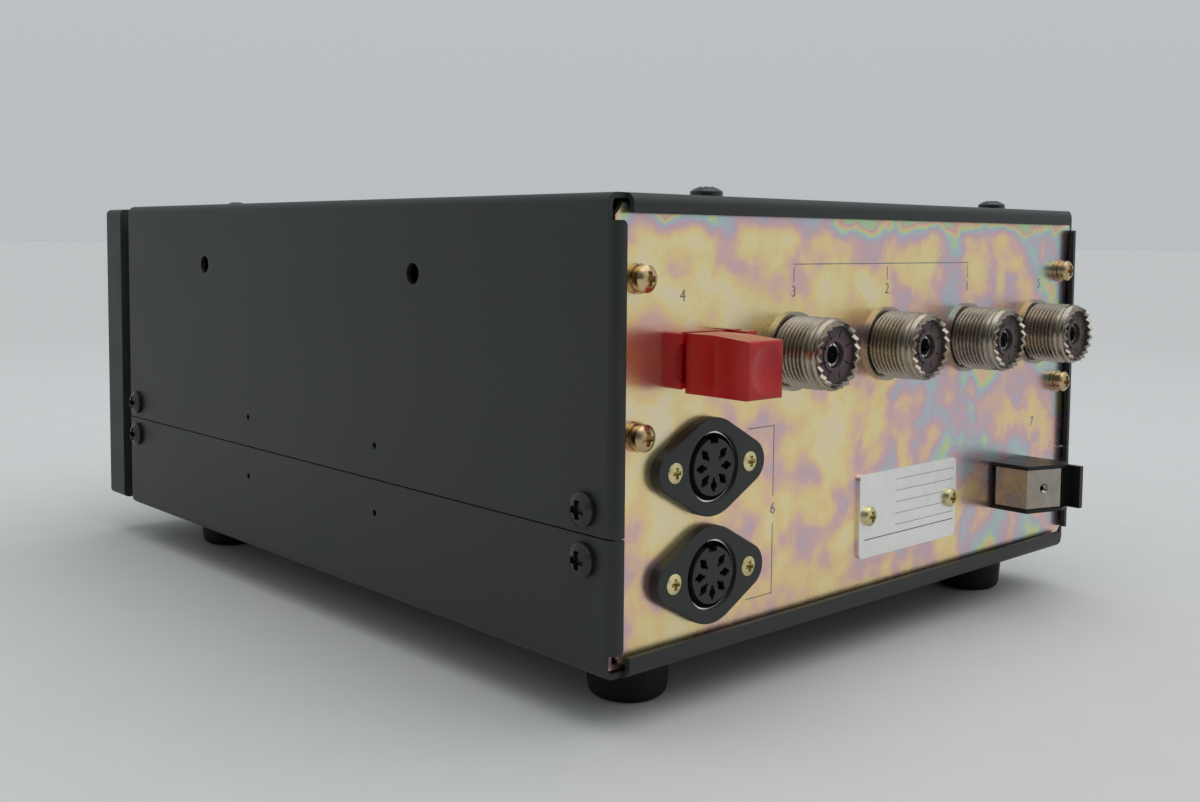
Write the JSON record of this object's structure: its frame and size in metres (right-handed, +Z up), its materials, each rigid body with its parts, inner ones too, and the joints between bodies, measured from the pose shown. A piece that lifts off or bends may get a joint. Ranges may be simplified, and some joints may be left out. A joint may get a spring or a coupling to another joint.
{
  "type": "antenna tuner",
  "caption": "Automatic antenna tuner: folded dark steel case, zinc-plated rear panel with coaxial sockets, accessory sockets, wire terminals, and rubber feet.",
  "frame": {"origin": "centre of the overall footprint, on the surface the feet stand on", "axes": "+Z up, the front faces -Y, the connector panel faces +Y"},
  "size_m": [0.1844, 0.2822, 0.1092],
  "materials": {
    "case_paint": "satin",
    "zinc_gold": "satin",
    "zinc_plain": "satin",
    "black_screw": "gloss",
    "gold_screw": "gloss",
    "brass_screw": "gloss",
    "nickel": "gloss",
    "phenolic": "matte",
    "silver_contact": "gloss",
    "black_plastic": "satin",
    "terminal_black": "gloss",
    "red_plastic": "gloss",
    "rubber": "matte",
    "plate_silver": "satin",
    "spring_steel": "satin",
    "aluminium": "satin",
    "brass": "satin",
    "motor_steel": "satin",
    "coil_wire": "gloss",
    "former": "matte",
    "board": "gloss",
    "relay_blue": "gloss",
    "tin": "satin",
    "bezel_plastic": "matte",
    "fascia": "satin",
    "lens": "gloss",
    "knob": "satin",
    "button": "satin"
  },
  "bodies": {
    "cabinet": {"upper_cover": "case_paint", "lower_cover": "case_paint", "cover_side_screws": "black_screw", "cover_top_screws": "black_screw", "chassis": "zinc_gold", "rear_panel": "zinc_gold", "panel_screws": "gold_screw", "front_subpanel": "zinc_plain", "foot_screws": "black_screw", "coax_insulators": "phenolic", "coax_contacts": "silver_contact", "coax_nuts": "nickel", "din_inserts": "black_plastic", "din_shields": "silver_contact", "din_screws": "brass_screw", "rating_plate": "plate_silver", "rating_plate_screws": "brass_screw", "wire_terminal_base": "red_plastic", "wire_terminal_spring": "spring_steel", "ground_terminal_housing": "terminal_black", "tuning_coil": "coil_wire", "coil_former": "former", "main_board": "board", "board_standoffs": "brass", "relays": "relay_blue", "detector_can": "tin", "front_bezel": "bezel_plastic", "front_panel": "fascia", "indicator_lens": "lens", "band_switch": "zinc_plain", "button_switches": "black_plastic", "foot_front_left": "rubber", "foot_rear_left": "rubber", "foot_front_right": "rubber", "foot_rear_right": "rubber", "din_socket_upper": "black_plastic", "din_socket_lower": "black_plastic", "coax_socket_1": "nickel", "coax_socket_2": "nickel", "coax_socket_3": "nickel", "coax_socket_4": "nickel", "capacitor_frame_a": "aluminium", "capacitor_stator_a": "aluminium", "tuning_motor_a": "motor_steel", "capacitor_frame_b": "aluminium", "capacitor_stator_b": "aluminium", "tuning_motor_b": "motor_steel"},
    "knob": {"band_knob": "knob", "band_shaft": "motor_steel"},
    "power_key": {"power_button": "button"},
    "mode_key": {"mode_button": "button"},
    "tune_key": {"tune_button": "button"},
    "wire_lever": {"wire_terminal_lever": "red_plastic"},
    "ground_clip": {"ground_terminal_clip": "nickel"},
    "rotor_a": {"capacitor_rotor_a": "aluminium", "capacitor_gear_a": "brass"},
    "rotor_b": {"capacitor_rotor_b": "aluminium", "capacitor_gear_b": "brass"},
    "pinion_a": {"motor_pinion_a": "brass"},
    "pinion_b": {"motor_pinion_b": "brass"}
  },
  "joints": [
    {"name": "band_knob_turn", "type": "hinge", "parent": "cabinet", "child": "knob", "pos_m": [0.048, -0.1411, 0.0575], "axis": [0, 1, 0], "range_deg": [-120, 120]},
    {"name": "power_press", "type": "slide", "parent": "cabinet", "child": "power_key", "axis": [0, 1, 0], "range_m": [0, 0.003], "stiffness_N_per_m": 300, "springref_m": -0.001},
    {"name": "mode_press", "type": "slide", "parent": "cabinet", "child": "mode_key", "axis": [0, 1, 0], "range_m": [0, 0.003], "stiffness_N_per_m": 300, "springref_m": -0.001},
    {"name": "tune_press", "type": "slide", "parent": "cabinet", "child": "tune_key", "axis": [0, 1, 0], "range_m": [0, 0.003], "stiffness_N_per_m": 300, "springref_m": -0.001},
    {"name": "wire_lever_press", "type": "slide", "parent": "cabinet", "child": "wire_lever", "axis": [0, -1, 0], "range_m": [0, 0.0011], "stiffness_N_per_m": 900, "springref_m": -0.001, "deforming": ["wire_terminal_spring"]},
    {"name": "ground_clip_press", "type": "hinge", "parent": "cabinet", "child": "ground_clip", "pos_m": [-0.0534, 0.1223, 0.0334], "axis": [0, 0, 1], "range_deg": [0, 6], "stiffness_Nm_per_rad": 0.15, "springref_deg": -1.72},
    {"name": "rotor_a_turn", "type": "hinge", "parent": "cabinet", "child": "rotor_a", "pos_m": [0.042, -0.0896, 0.0375], "axis": [0, 1, 0], "range_deg": [0, 180]},
    {"name": "pinion_a_turn", "type": "hinge", "parent": "cabinet", "child": "pinion_a", "pos_m": [0.042, -0.0896, 0.06565], "axis": [0, 1, 0], "range_deg": [-540, 0]},
    {"name": "rotor_b_turn", "type": "hinge", "parent": "cabinet", "child": "rotor_b", "pos_m": [-0.042, -0.0896, 0.0375], "axis": [0, 1, 0], "range_deg": [0, 180]},
    {"name": "pinion_b_turn", "type": "hinge", "parent": "cabinet", "child": "pinion_b", "pos_m": [-0.042, -0.0896, 0.06565], "axis": [0, 1, 0], "range_deg": [-540, 0]}
  ],
  "couplings": [
    {"joint": "pinion_a_turn", "follows": "rotor_a_turn", "ratio": -3},
    {"joint": "pinion_b_turn", "follows": "rotor_b_turn", "ratio": -3}
  ]
}
